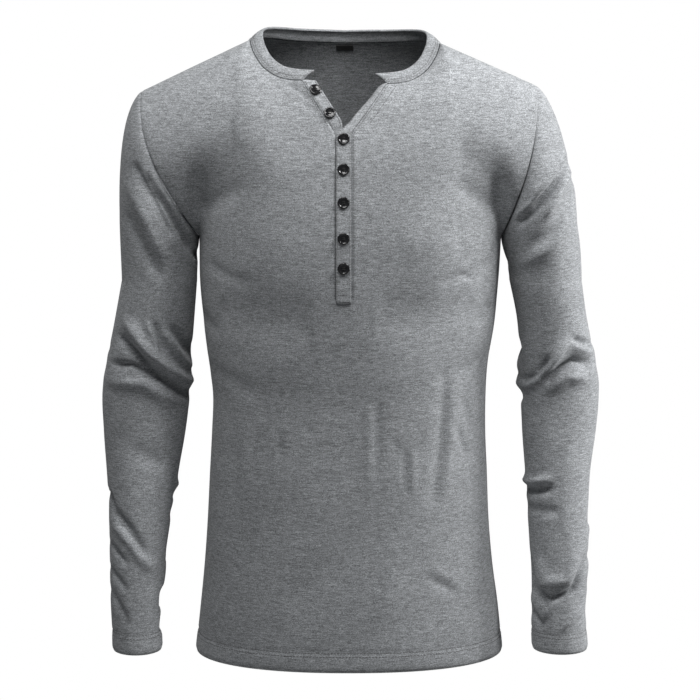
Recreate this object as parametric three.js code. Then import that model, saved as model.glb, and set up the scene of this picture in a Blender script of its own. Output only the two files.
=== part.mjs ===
import * as THREE from 'three';

// A long-sleeve henley shirt with no collar, filled out as if worn, arms hanging.
// Millimetres, +Z up, front towards -Y. The wearer's right sleeve is at -X.
// x = y = z = 0 lies between the shoulders, level with the shoulder tips.

const WALL = 1.6;              // one layer of jersey
const FOLD_WALL = 2.6;         // jersey turned up on itself at hem and cuffs
const SEAM_GAP = 0.3;          // between two cloths that are sewn together
const HEM_Z = -627;            // bottom edge of the body
const HEM_FOLD = 22;           // depth of the hem and of the cuff fold
const UNDERARM_Z = -157;       // where sleeve, front and back meet
const SQUARENESS = 2.25;       // 2 is an ellipse; the torso is a little squarer
const SCYE_DEPTH = 66;         // the armhole seam stands this far forward and back of the side
const SHOULDER_SHARE = 0.5;    // part of half a panel's top edge that is shoulder seam
const SHOULDER_Y = -4;         // the shoulder seam sits just forward of the ridge
const SIDE_FADE = 1.5;         // how quickly the armhole's forward stand fades across the chest
const SIDE_ZONE = 0.3;         // share of half a panel where the armhole pulls straight away
const YOKE_START = 0.5;        // elsewhere the pull grows over this share of the yoke
const FRONT_NECK_ANGLE = 60;   // degrees the chest has turned back by at the neckline
const BACK_NECK_ANGLE = 62;    // the same for the back of the neck
const HALF_COLUMNS = 10;       // cloth cells across half a panel
const HEM_ROWS = 12;           // cell rows from the hem fold to the foot of the placket
const CHEST_ROWS = 2;          // from there to the underarm
const YOKE_ROWS = 10;          // from the underarm to the shoulder and neckline
const SLEEVE_COLUMNS = 20;     // cells around a sleeve
const CAP_ROWS = 10;           // from the armhole to the first full ring
const ARM_ROWS = 17;           // from there to the cuff fold
const RING_TOP = -208;         // first full ring of a sleeve
const CUFF_Z = -618;           // bottom edge of the cuffs
const PLACKET_FOOT = -220;     // bottom of the opening in the front
const PLACKET_OPEN = -40;      // below this the two bands lie on each other
const PLACKET_BEND = 15;       // height over which the bands part
const SLOT = { right: -10, left: 7 };     // x of the two sewn edges of the closed placket
const BAND_WALL = 1.8;         // a placket band is two layers
const BAND_PROUD = 0.4;        // the upper band stands this far out of the front
const BINDING_WALL = 2.4;      // the neck binding is folded double
const BINDING_GAP = 0.45;      // the binding keeps this far back from its seam line
const BUTTON_SEGMENTS = 16;
const BUTTON_SEAT = 0.3;       // thread shank between button and band
const LABEL = { width: 19.5, height: 7.6, thick: 0.6, x: -0.6, drop: 1.4, off: 1.1 };

// The torso from hem to underarm. half = half the width, shift = centre line to the side.
const BODY = [
  { z: -627, half: 174.0, shift: 4.6, front: 119, back: 113 },
  { z: -574, half: 168.0, shift: 4.5, front: 115, back: 109 },
  { z: -527, half: 162.3, shift: 3.6, front: 111, back: 105 },
  { z: -481, half: 158.6, shift: 3.4, front: 108, back: 102 },
  { z: -424, half: 156.0, shift: 3.9, front: 106, back: 101 },
  { z: -378, half: 153.6, shift: 4.2, front: 105, back: 100 },
  { z: -335, half: 152.8, shift: 5.0, front: 106, back: 101 },
  { z: -298, half: 156.0, shift: 3.8, front: 110, back: 105 },
  { z: -253, half: 162.0, shift: 4.3, front: 116, back: 111 },
  { z: -208, half: 166.0, shift: 4.4, front: 120, back: 116 },
  { z: -157, half: 167.6, shift: 5.8, front: 122, back: 119 },
];

// Shoulder tips, and how far the neck sits lower on that side.
const SHOULDER = {
  right: { out: 224, up: 2, neckDrop: 0 },
  left: { out: 211, up: 8, neckDrop: 3.5 },
};

// Half of the neck binding, from the back (turn 0) past the shoulder (90) to its front end.
// The seam joins it to the panels, the edge is its free top edge.
const NECK = [
  { turn: 0, seamX: 0, seamY: 69, seamZ: 53.5, edgeX: 0, edgeY: 62, edgeZ: 67.5 },
  { turn: 35, seamX: 53, seamY: 62, seamZ: 56, edgeX: 49, edgeY: 54, edgeZ: 69.5 },
  { turn: 60, seamX: 86, seamY: 43, seamZ: 60, edgeX: 75, edgeY: 38, edgeZ: 71.5 },
  { turn: 76, seamX: 100, seamY: 20, seamZ: 61, edgeX: 87, edgeY: 18, edgeZ: 71 },
  { turn: 90, seamX: 104, seamY: -4, seamZ: 58, edgeX: 90, edgeY: -3, edgeZ: 66 },
  { turn: 103, seamX: 100, seamY: -28, seamZ: 46, edgeX: 87.5, edgeY: -23, edgeZ: 54 },
  { turn: 117, seamX: 89.5, seamY: -49, seamZ: 31, edgeX: 79, edgeY: -41, edgeZ: 40 },
  { turn: 131, seamX: 75, seamY: -62, seamZ: 21, edgeX: 66, edgeY: -53, edgeZ: 31 },
  { turn: 144, seamX: 60, seamY: -71, seamZ: 17, edgeX: 51, edgeY: -62, edgeZ: 28 },
  { turn: 156, seamX: 46, seamY: -76, seamZ: 16.5, edgeX: 33, edgeY: -68, edgeZ: 27 },
];
const NECK_SIDE = 90;
const NECK_FRONT = 156;

// Sleeve rings: x is out from the middle of the shirt, wide and deep are half sizes.
const SLEEVE = {
  right: [
    { z: -208, x: 207.0, y: 2, wide: 41.8, deep: 54 },
    { z: -253, x: 213.6, y: 4, wide: 44.3, deep: 53 },
    { z: -298, x: 220.2, y: 6, wide: 47.2, deep: 52 },
    { z: -335, x: 223.4, y: 6, wide: 49.4, deep: 50 },
    { z: -378, x: 224.7, y: 1, wide: 46.0, deep: 47 },
    { z: -424, x: 227.2, y: -8, wide: 40.2, deep: 45 },
    { z: -481, x: 230.7, y: -20, wide: 33.9, deep: 42 },
    { z: -527, x: 233.0, y: -30, wide: 30.0, deep: 38 },
    { z: -574, x: 234.2, y: -38, wide: 27.8, deep: 34 },
    { z: -618, x: 232.4, y: -45, wide: 27.6, deep: 33 },
  ],
  left: [
    { z: -208, x: 224.0, y: 2, wide: 40.2, deep: 54 },
    { z: -253, x: 232.0, y: 4, wide: 39.0, deep: 53 },
    { z: -298, x: 238.8, y: 6, wide: 42.6, deep: 52 },
    { z: -335, x: 241.2, y: 6, wide: 43.8, deep: 50 },
    { z: -378, x: 240.4, y: 1, wide: 41.3, deep: 47 },
    { z: -424, x: 239.2, y: -8, wide: 36.6, deep: 44 },
    { z: -481, x: 239.1, y: -19, wide: 33.4, deep: 41 },
    { z: -527, x: 240.2, y: -28, wide: 32.4, deep: 38 },
    { z: -574, x: 239.6, y: -35, wide: 30.7, deep: 35 },
    { z: -618, x: 241.0, y: -41, wide: 31.0, deep: 34 },
  ],
};

// Broad folds of the sleeves. At turn 0 a sleeve faces the body, at 90 the front, at 180 out.
// Each runs from one place to another and stands out (rise over 0) or in (below 0).
const SLEEVE_FOLDS = {
  right: [
    { turn: 150, z: -75, toTurn: 60, toZ: -150, reach: 15, rise: 4 },
    { turn: 120, z: -75, toTurn: 45, toZ: -125, reach: 12, rise: -4 },
    { turn: 175, z: -330, toTurn: 70, toZ: -375, reach: 17, rise: -5 },
    { turn: 120, z: -300, toTurn: 55, toZ: -350, reach: 17, rise: 5 },
    { turn: 165, z: -480, toTurn: 75, toZ: -530, reach: 16, rise: -3 },
  ],
  left: [
    { turn: 140, z: -75, toTurn: 50, toZ: -140, reach: 15, rise: 4 },
    { turn: 110, z: -70, toTurn: 35, toZ: -120, reach: 12, rise: -4 },
    { turn: 150, z: -325, toTurn: 45, toZ: -385, reach: 17, rise: 5 },
    { turn: 165, z: -355, toTurn: 60, toZ: -392, reach: 16, rise: -5 },
    { turn: 160, z: -560, toTurn: 40, toZ: -590, reach: 16, rise: -3 },
  ],
};

// Button centres down the placket, top to bottom. The first two sit on the open lower band.
const BUTTONS = [
  { z: 6, along: 0.5 }, { z: -18, along: 0.5 }, { z: -45 }, { z: -77 }, { z: -112 },
  { z: -150 }, { z: -182 },
];

// Half the outline of a button, from the middle of its back round to the middle of its face.
const BUTTON_OUTLINE = [
  { r: 5.0, h: 0 }, { r: 6.2, h: 0.7 }, { r: 6.25, h: 1.5 }, { r: 5.6, h: 2.2 },
  { r: 4.7, h: 2.2 }, { r: 4.1, h: 1.7 },
];
const BUTTON_FACE = 1.7;       // height of the sunk middle of the face

const CLOTH = { color: 0x7d8184, roughness: 0.95, metalness: 0 };
const RIB = { color: 0x75797c, roughness: 0.95, metalness: 0 };
const GLOSS = { color: 0x0b0b0c, roughness: 0.18, metalness: 0 };
const TAPE = { color: 0x101011, roughness: 0.75, metalness: 0 };

const vec = (x, y, z) => new THREE.Vector3(x, y, z);
const lerp = (a, b, t) => a + (b - a) * t;
const clamp = (t) => Math.min(1, Math.max(0, t));
const smooth = (t) => clamp(t) ** 2 * (3 - 2 * clamp(t));
const radians = THREE.MathUtils.degToRad;
const sign = (side) => (side === 'right' ? -1 : 1);

// One named column of a table at any value of its first column, smooth through the rows.
function column(table, key, name, at) {
  const rows = table[0][key] < table[table.length - 1][key] ? table : [...table].reverse();
  let i = 0;
  while (i < rows.length - 2 && at > rows[i + 1][key]) i += 1;
  const slope = (k) => {
    const a = rows[Math.max(0, k - 1)];
    const b = rows[Math.min(rows.length - 1, k + 1)];
    return (b[name] - a[name]) / (b[key] - a[key]);
  };
  const span = rows[i + 1][key] - rows[i][key];
  const t = clamp((at - rows[i][key]) / span);
  const a = rows[i][name];
  const b = rows[i + 1][name];
  const bend = slope(i) * span * (1 - t) - slope(i + 1) * span * t;
  return lerp(a, b, smooth(t)) + bend * t * (1 - t);
}

// A point of the torso below the underarm. angle 0 is the side seam, a quarter turn the middle.
function torsoPoint(z, angle, side, face) {
  const depth = column(BODY, 'z', face < 0 ? 'front' : 'back', z);
  const half = column(BODY, 'z', 'half', z);
  const round = 2 / SQUARENESS;
  return vec(
    column(BODY, 'z', 'shift', z) + sign(side) * half * Math.cos(angle) ** round,
    face * depth * Math.sin(angle) ** round,
    z,
  );
}

// The last column of half a front panel lies on the placket's sewn edge, of a back panel on
// the middle. This is the angle there.
function lastAngle(z, side, face) {
  if (face > 0) return Math.PI / 2;
  const reach = Math.abs(SLOT[side] - column(BODY, 'z', 'shift', z));
  return Math.acos((reach / column(BODY, 'z', 'half', z)) ** (SQUARENESS / 2));
}

function lowerPoint(u, z, side, face) {
  return torsoPoint(z, u * lastAngle(z, side, face), side, face);
}

// Neck seam or free edge of the binding, at a turn from the back towards one shoulder.
function neckPoint(turn, side, line) {
  const at = (axis) => column(NECK, 'turn', line + axis, turn);
  const drop = SHOULDER[side].neckDrop * smooth(turn / NECK_SIDE);
  return vec(sign(side) * at('X'), at('Y'), at('Z') - drop);
}

function shoulderTip(side) {
  return vec(sign(side) * SHOULDER[side].out, SHOULDER_Y, SHOULDER[side].up);
}

// Top edge of half a panel: the shoulder seam from the tip in, then the neckline.
function topPoint(u, side, face) {
  if (u <= SHOULDER_SHARE) {
    const neck = neckPoint(NECK_SIDE, side, 'seam');
    return shoulderTip(side).lerp(neck, u / SHOULDER_SHARE);
  }
  return neckPoint(neckTurn(u, face), side, 'seam');
}

// The armhole seam from the underarm (s = 0) to the shoulder tip (s = 1), front or back.
function armholePoint(s, side, face) {
  const foot = torsoPoint(UNDERARM_Z, 0, side, face);
  const tip = shoulderTip(side);
  const t = (1 - Math.cos(Math.PI * s)) / 2;
  const stand = Math.sqrt(Math.max(0, Math.sin(Math.PI * t)));
  return vec(
    lerp(foot.x, tip.x, Math.sin((Math.PI * t) / 2)),
    lerp(0, tip.y, t) + face * SCYE_DEPTH * stand,
    lerp(foot.z, tip.z, t),
  );
}

// Chest and back above the underarm before the armhole's stand is added.
function plainYoke(u, s, side, face) {
  const from = lowerPoint(u, UNDERARM_Z, side, face);
  const to = topPoint(u, side, face);
  const inward = smooth((u - SHOULDER_SHARE) / (1 - SHOULDER_SHARE));
  const neckAngle = face < 0 ? FRONT_NECK_ANGLE : BACK_NECK_ANGLE;
  const end = radians(lerp(90, neckAngle, inward));
  const back = (Math.cos(s * end) - Math.cos(end)) / (1 - Math.cos(end));
  const rise = Math.sin(s * end) / Math.sin(end);
  const across = s * s * (2 - s);
  return vec(lerp(from.x, to.x, across), lerp(to.y, from.y, back), lerp(from.z, to.z, rise));
}

// x of the placket's sewn edge: upright while closed, then running out to the neck.
function slotX(z, side) {
  const top = neckPoint(NECK_FRONT, side, 'seam');
  const open = clamp((z - PLACKET_OPEN) / (top.z - PLACKET_OPEN));
  return lerp(SLOT[side], top.x, open);
}

function upperPoint(u, s, side, face) {
  const point = plainYoke(u, s, side, face);
  const seam = armholePoint(s, side, face).sub(plainYoke(0, s, side, face));
  const start = lerp(1, smooth(s / YOKE_START), smooth(u / SIDE_ZONE));
  point.addScaledVector(seam, start * (1 - u) ** SIDE_FADE);
  if (face < 0) {
    const middle = plainYoke(1, s, side, face);
    point.x += u ** 3 * (slotX(middle.z, side) - middle.x);
  }
  return point;
}

// Levels of a panel's rows: heights below the underarm, then shares of the way to the top.
function panelRows() {
  const rows = [{ z: HEM_Z }];
  const fold = HEM_Z + HEM_FOLD;
  for (let i = 0; i <= HEM_ROWS; i += 1) rows.push({ z: lerp(fold, PLACKET_FOOT, i / HEM_ROWS) });
  for (let i = 1; i <= CHEST_ROWS; i += 1) {
    rows.push({ z: lerp(PLACKET_FOOT, UNDERARM_Z, i / CHEST_ROWS) });
  }
  for (let i = 1; i <= YOKE_ROWS; i += 1) rows.push({ s: i / YOKE_ROWS });
  return rows;
}

// Points of a whole panel, a list of rows from hem to top, each from wearer's right to left.
function panelGrid(face) {
  const at = (u, row, side) => (row.s === undefined
    ? lowerPoint(u, row.z, side, face)
    : upperPoint(u, row.s, side, face));
  return panelRows().map((row) => {
    const right = [];
    const left = [];
    for (let j = 0; j <= HALF_COLUMNS; j += 1) {
      right.push(at(j / HALF_COLUMNS, row, 'right'));
      left.unshift(at(j / HALF_COLUMNS, row, 'left'));
    }
    if (face > 0) left.shift();
    return [...right, ...left];
  });
}

// Directions square to a grid of points. turn is 1 or -1 and picks the outer side.
function gridNormals(grid, turn, loop) {
  const rows = grid.length;
  const cols = grid[0].length;
  const get = (i, j) => grid[i][loop ? (j + cols) % cols : Math.min(cols - 1, Math.max(0, j))];
  return grid.map((row, i) => row.map((point, j) => {
    const up = grid[Math.min(rows - 1, i + 1)][j].clone().sub(grid[Math.max(0, i - 1)][j]);
    const along = get(i, j + 1).clone().sub(get(i, j - 1));
    return along.cross(up).multiplyScalar(turn).normalize();
  }));
}

// Draws the rim of a grid in, so that sewn pieces don't touch.
function drawIn(grid, loop, gap = SEAM_GAP / 2) {
  const last = grid.length - 1;
  const end = grid[0].length - 1;
  const step = (from, to) => to.clone().sub(from).setLength(gap);
  const moved = grid.map((row) => row.map((point) => point.clone()));
  grid[0].forEach((point, j) => {
    moved[0][j].add(step(point, grid[1][j]));
    moved[last][j].add(step(grid[last][j], grid[last - 1][j]));
  });
  if (!loop) {
    grid.forEach((row, i) => {
      moved[i][0].add(step(row[0], row[1]));
      moved[i][end].add(step(row[end], row[end - 1]));
    });
  }
  return moved;
}

// A closed wall of cloth: the outer face runs through the grid, the inner one lies a
// thickness inside it, and the rims are closed. keep says which cells are cloth.
function wall(grid, normals, turn, thick, loop, keep) {
  const cols = grid[0].length;
  const spots = [];
  grid.forEach((row, i) => row.forEach((point) => spots.push(...point.toArray())));
  grid.forEach((row, i) => row.forEach((point, j) => {
    spots.push(...point.clone().addScaledVector(normals[i][j], -thick(i, j)).toArray());
  }));
  const inner = grid.length * cols;
  const faces = [];
  const rims = new Map();
  const addFace = (a, b, c) => {
    faces.push(a, b, c, a + inner, c + inner, b + inner);
    [[a, b], [b, c], [c, a]].forEach(([p, q]) => {
      if (!rims.delete(`${q} ${p}`)) rims.set(`${p} ${q}`, [p, q]);
    });
  };
  for (let i = 0; i < grid.length - 1; i += 1) {
    for (let j = 0; j < (loop ? cols : cols - 1); j += 1) {
      if (keep && !keep(i, j)) continue;
      const k = (j + 1) % cols;
      const quad = [i * cols + j, i * cols + k, (i + 1) * cols + k, (i + 1) * cols + j];
      if (turn < 0) quad.reverse();
      addFace(quad[0], quad[1], quad[2]);
      addFace(quad[0], quad[2], quad[3]);
    }
  }
  rims.forEach(([p, q]) => faces.push(q, p, p + inner, q, p + inner, q + inner));
  return solid(spots, faces);
}

// Geometry from plain lists, without the points that no face uses.
function solid(spots, faces) {
  const geometry = new THREE.BufferGeometry();
  const flat = faces.flatMap((k) => spots.slice(3 * k, 3 * k + 3));
  geometry.setAttribute('position', new THREE.Float32BufferAttribute(flat, 3));
  return geometry;
}

function piece(name, geometry, look) {
  const mesh = new THREE.Mesh(geometry, new THREE.MeshStandardMaterial(look));
  mesh.name = name;
  return mesh;
}

// Where two cloths meet at a ridge they share one direction, so that their walls don't cross.
function shared(a, b) {
  const amount = smooth(a.dot(b));
  return a.clone().lerp(a.clone().add(b).normalize(), amount).normalize();
}

// Rings of a sleeve, from the armhole down to the cuff.
function foldAt(turn, z, side) {
  let rise = 0;
  SLEEVE_FOLDS[side].forEach((fold) => {
    const perDegree = 0.8;     // mm of cloth around the arm for each degree
    const runX = (fold.toTurn - fold.turn) * perDegree;
    const runZ = fold.toZ - fold.z;
    const x = (turn - fold.turn) * perDegree;
    const share = clamp((x * runX + (z - fold.z) * runZ) / (runX ** 2 + runZ ** 2));
    const off = Math.hypot(x - share * runX, z - fold.z - share * runZ) / fold.reach;
    rise += fold.rise * Math.exp(-off * off) * (0.35 + 0.65 * Math.sin(Math.PI * share));
  });
  return rise;
}

function ringPoint(turn, z, side) {
  const at = (name) => column(SLEEVE[side], 'z', name, z);
  const angle = radians(turn);
  return vec(
    sign(side) * (at('x') - at('wide') * Math.cos(angle)),
    at('y') - at('deep') * Math.sin(angle),
    z,
  );
}

function capPoint(turn, s, side) {
  const front = turn <= 180;
  const from = armholePoint(front ? turn / 180 : (360 - turn) / 180, side, front ? -1 : 1);
  const to = ringPoint(turn, RING_TOP, side);
  const outer = (1 - Math.cos(radians(turn))) / 2;
  const leave = vec(
    sign(side) * lerp(0, 0.75, outer),
    -0.2 * Math.sin(radians(turn)),
    -lerp(1, 0.66, outer),
  ).setLength(lerp(30, 140, outer));
  const arrive = vec(0, 0, -lerp(40, 150, outer));
  const a = leave.multiplyScalar(s * (1 - s) ** 2);
  const b = arrive.multiplyScalar(s * s * (s - 1));
  return from.lerp(to, smooth(s)).add(a).add(b);
}

function sleeveGrid(side) {
  const grid = [];
  const ring = (at) => {
    const row = [];
    for (let j = 0; j < SLEEVE_COLUMNS; j += 1) row.push(at((360 * j) / SLEEVE_COLUMNS));
    grid.push(row);
  };
  for (let i = 0; i < CAP_ROWS; i += 1) ring((turn) => capPoint(turn, i / CAP_ROWS, side));
  const fold = CUFF_Z + HEM_FOLD;
  for (let i = 0; i <= ARM_ROWS; i += 1) {
    ring((turn) => ringPoint(turn, lerp(RING_TOP, fold, i / ARM_ROWS), side));
  }
  ring((turn) => ringPoint(turn, CUFF_Z, side));
  return grid;
}

function sleeve(side) {
  const turn = -sign(side);
  const plain = sleeveGrid(side);
  const lean = gridNormals(plain, turn, true);
  const grid = plain.map((row, i) => row.map((point, j) => {
    const hold = smooth(i / 2) * smooth((plain.length - 2 - i) / 2);
    const rise = hold * foldAt((360 * j) / SLEEVE_COLUMNS, point.z, side);
    return point.clone().addScaledVector(lean[i][j], rise);
  }));
  const normals = gridNormals(grid, turn, true);
  const half = SLEEVE_COLUMNS / 2;
  normals[0] = normals[0].map((normal, j) => {
    const front = j <= half;
    const s = (front ? j : SLEEVE_COLUMNS - j) / half;
    return shared(normal, armholeNormal(s, side, front ? -1 : 1));
  });
  const cuff = grid.length - 2;
  const thick = (i) => (i >= cuff ? FOLD_WALL : WALL);
  return wall(drawIn(grid, true), normals, turn, thick, true);
}

// Direction square to a panel right at the armhole seam.
function armholeNormal(s, side, face) {
  const near = 0.02;
  const low = Math.max(0, s - near);
  const high = Math.min(1, s + near);
  const up = upperPoint(0, high, side, face).sub(upperPoint(0, low, side, face));
  const inward = upperPoint(near, s, side, face).sub(upperPoint(0, s, side, face));
  return inward.cross(up).multiplyScalar(sign(side) * face).normalize();
}

// Direction square to a sleeve right at the armhole seam.
function capNormal(s, side, face) {
  const near = 0.02;
  const turn = face < 0 ? 180 * s : 360 - 180 * s;
  const step = 2;
  const round = capPoint(Math.min(360, turn + step), 0, side)
    .sub(capPoint(Math.max(0, turn - step), 0, side));
  const down = capPoint(turn, near, side).sub(capPoint(turn, 0, side));
  return round.cross(down).multiplyScalar(-sign(side)).normalize();
}

function panel(face) {
  const turn = -face;
  const grid = panelGrid(face);
  const normals = gridNormals(grid, turn, false);
  const last = grid[0].length - 1;
  const first = grid.length - 1 - YOKE_ROWS;
  for (let i = first; i < grid.length; i += 1) {
    const s = (i - first) / YOKE_ROWS;
    [['right', 0], ['left', last]].forEach(([side, j]) => {
      normals[i][j] = shared(armholeNormal(s, side, face), capNormal(s, side, face));
    });
  }
  for (let i = 0; i < first; i += 1) {
    normals[i][0].setY(0).normalize();
    normals[i][last].setY(0).normalize();
  }
  const top = grid.length - 1;
  grid[top].forEach((point, j) => {
    const side = j <= HALF_COLUMNS ? 'right' : 'left';
    const u = (side === 'right' ? j : last - j) / HALF_COLUMNS;
    if (u < SHOULDER_SHARE) normals[top][j].setY(0).normalize();
    else normals[top][j] = neckNormal(u, side, face);
  });
  const foot = 1 + HEM_ROWS;
  const keep = (i, j) => face > 0 || j !== HALF_COLUMNS || i < foot;
  const thick = (i) => (i <= 1 ? FOLD_WALL : WALL);
  return wall(drawIn(grid, false), normals, turn, thick, false, keep);
}

// Direction square to the neck seam, shared by the panels and the binding.
function neckNormal(u, side, face) {
  if (u > SHOULDER_SHARE) return neckLean(u, side, face);
  return neckLean(u, side, -1).add(neckLean(u, side, 1)).normalize();
}

function neckLean(u, side, face) {
  const near = 0.02;
  const seam = topPoint(u, side, face);
  const low = Math.max(SHOULDER_SHARE, u - near);
  const along = topPoint(Math.min(1, u + near), side, face).sub(topPoint(low, side, face));
  const panelUp = seam.clone().sub(upperPoint(u, 1 - near, side, face)).normalize();
  const up = neckEdge(u, side, face).sub(seam).normalize().add(panelUp);
  const normal = along.cross(up).normalize();
  return normal.dot(seam.clone().sub(vec(0, 0, UNDERARM_Z))) < 0 ? normal.negate() : normal;
}

function neckTurn(u, face) {
  const t = (u - SHOULDER_SHARE) / (1 - SHOULDER_SHARE);
  return lerp(NECK_SIDE, face < 0 ? NECK_FRONT : 0, t);
}

function neckEdge(u, side, face) {
  return neckPoint(neckTurn(u, face), side, 'edge');
}

// The binding's cells keep to the columns of the panels that it is sewn to.
function bindingStations() {
  const first = Math.round(SHOULDER_SHARE * HALF_COLUMNS);
  const half = [];
  for (let k = HALF_COLUMNS; k >= first; k -= 1) half.push([k / HALF_COLUMNS, -1]);
  for (let k = first + 1; k <= HALF_COLUMNS; k += 1) half.push([k / HALF_COLUMNS, 1]);
  const right = half.map(([u, face]) => [u, 'right', face]);
  const left = half.slice(0, -1).map(([u, face]) => [u, 'left', face]).reverse();
  return [...right, ...left];
}

function binding() {
  const stations = bindingStations();
  const seam = stations.map(([u, side, face]) => topPoint(u, side, face));
  const edge = stations.map(([u, side, face]) => neckEdge(u, side, face));
  const middle = seam.map((point, j) => point.clone().lerp(edge[j], 0.5));
  const grid = [seam, middle, edge];
  const normals = gridNormals(grid, -1, false);
  const puff = 0.8;            // the folded band is a little rounded
  middle.forEach((point, j) => point.addScaledVector(normals[1][j], puff));
  normals[0] = stations.map(([u, side, face]) => neckNormal(u, side, face));
  const drawn = drawIn(grid, false, BINDING_GAP);
  return wall(drawn, normals, -1, () => BINDING_WALL, false);
}

// The placket bands. Each starts on its sewn edge and runs across the opening. lift is how far
// its face stands out of the front while closed, back how far its free edge falls back open.
const BANDS = {
  right: { closedWidth: 9, openWidth: 15.5, openBack: 2, lift: -3.2 },
  left: { closedWidth: 16.4, openWidth: 11, openBack: 9, lift: BAND_PROUD },
};
const BAND_COLUMNS = 3;

// Rows of a band, foot to neck, level with the front panel's rows.
function bandGrid(side) {
  const band = BANDS[side];
  const foot = 1 + HEM_ROWS;
  const front = panelGrid(-1).slice(foot);
  const j = side === 'right' ? HALF_COLUMNS : HALF_COLUMNS + 1;
  const across = vec(-sign(side), 0, 0);
  return front.map((points, i) => {
    const sewn = points[j];
    const up = front[Math.min(front.length - 1, i + 1)][j].clone();
    up.sub(front[Math.max(0, i - 1)][j]).normalize();
    const out = vec(0, -up.z, up.y).normalize();
    const open = smooth((sewn.z - PLACKET_OPEN) / PLACKET_BEND);
    const fall = smooth((sewn.z - PLACKET_OPEN - PLACKET_BEND) / (2 * PLACKET_BEND));
    const back = band.openBack * fall;
    const width = lerp(band.closedWidth, band.openWidth, open);
    const row = [];
    for (let k = 0; k <= BAND_COLUMNS; k += 1) {
      const share = k / BAND_COLUMNS;
      row.push(sewn.clone()
        .addScaledVector(across, share * width)
        .addScaledVector(out, lerp(band.lift, -share * share * back, open)));
    }
    return side === 'left' ? row.reverse() : row;
  });
}

function placketBand(side) {
  const grid = bandGrid(side);
  const normals = gridNormals(grid, 1, false);
  const front = gridNormals(panelGrid(-1), 1, false).slice(1 + HEM_ROWS);
  const [sewn, j] = side === 'right' ? [0, HALF_COLUMNS] : [BAND_COLUMNS, HALF_COLUMNS + 1];
  front.forEach((row, i) => { normals[i][sewn] = row[j]; });
  normals[grid.length - 1][sewn] = neckNormal(1, side, -1);
  return wall(drawIn(grid, false), normals, 1, () => BAND_WALL, false);
}

// A button: rings of points round its axis, closed at the middle of the back and the face.
function buttonGeometry() {
  const spots = [0, 0, 0];
  const faces = [];
  const n = BUTTON_SEGMENTS;
  BUTTON_OUTLINE.forEach(({ r, h }) => {
    for (let k = 0; k < n; k += 1) {
      const angle = (2 * Math.PI * k) / n;
      spots.push(r * Math.cos(angle), r * Math.sin(angle), h);
    }
  });
  spots.push(0, 0, BUTTON_FACE);
  const tip = spots.length / 3 - 1;
  const rings = BUTTON_OUTLINE.length;
  for (let k = 0; k < n; k += 1) {
    const next = (k + 1) % n;
    faces.push(0, 1 + next, 1 + k);
    faces.push(tip, 1 + (rings - 1) * n + k, 1 + (rings - 1) * n + next);
    for (let i = 0; i < rings - 1; i += 1) {
      const a = 1 + i * n;
      faces.push(a + k, a + next, a + n + next, a + k, a + n + next, a + n + k);
    }
  }
  return solid(spots, faces);
}

// Turns and moves a geometry so that its own +Z points out of the cloth at a place.
function placed(geometry, point, out) {
  const turn = new THREE.Quaternion().setFromUnitVectors(vec(0, 0, 1), out);
  geometry.applyQuaternion(turn);
  geometry.translate(point.x, point.y, point.z);
  return geometry;
}

// The outer face of a band at a height: point and outward direction, part of the way across.
function onBand(side, z, share) {
  const grid = bandGrid(side);
  let i = 0;
  while (i < grid.length - 2 && grid[i + 1][0].z < z) i += 1;
  const t = clamp((z - grid[i][0].z) / (grid[i + 1][0].z - grid[i][0].z));
  const at = (row, j) => row[Math.floor(j)].clone().lerp(row[Math.ceil(j)], j % 1);
  const across = share * BAND_COLUMNS;
  const point = at(grid[i], across).lerp(at(grid[i + 1], across), t);
  const up = at(grid[i + 1], across).sub(at(grid[i], across));
  const along = grid[i][BAND_COLUMNS].clone().sub(grid[i][0]);
  return { point, out: along.cross(up).normalize() };
}

function button(row) {
  const side = row.along === undefined ? 'left' : 'right';
  const seat = onBand(side, row.z, row.along ?? 0.5);
  seat.point.addScaledVector(seat.out, BUTTON_SEAT);
  return placed(buttonGeometry(), seat.point, seat.out);
}

// The label lies flat inside the back of the neck, under the binding.
function label() {
  const top = neckPoint(0, 'left', 'seam');
  const rows = 2;
  const columns = 4;
  const near = 0.06;
  const down = upperPoint(1, 1 - near, 'left', 1).sub(upperPoint(1, 1, 'left', 1)).normalize();
  const inside = down.clone().cross(vec(1, 0, 0)).normalize();
  if (inside.y > 0) inside.negate();
  const grid = [];
  for (let i = 0; i <= rows; i += 1) {
    const row = [];
    for (let j = 0; j <= columns; j += 1) {
      row.push(top.clone()
        .add(vec(LABEL.x + (j / columns - 0.5) * LABEL.width, 0, 0))
        .addScaledVector(down, LABEL.drop + LABEL.height * (1 - i / rows))
        .addScaledVector(inside, WALL + LABEL.off + LABEL.thick));
    }
    grid.push(row);
  }
  return wall(grid, gridNormals(grid, 1, false), 1, () => LABEL.thick, false);
}

const shirt = new THREE.Group();
shirt.name = 'henley_shirt';
shirt.add(piece('front_panel', panel(-1), CLOTH));
shirt.add(piece('back_panel', panel(1), CLOTH));
shirt.add(piece('sleeve_right', sleeve('right'), CLOTH));
shirt.add(piece('sleeve_left', sleeve('left'), CLOTH));
shirt.add(piece('neck_binding', binding(), RIB));
shirt.add(piece('placket_under', placketBand('right'), CLOTH));
shirt.add(piece('placket_over', placketBand('left'), CLOTH));
BUTTONS.forEach((row, k) => shirt.add(piece(`button_${k + 1}`, button(row), GLOSS)));
shirt.add(piece('neck_label', label(), TAPE));

export default shirt;
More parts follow.
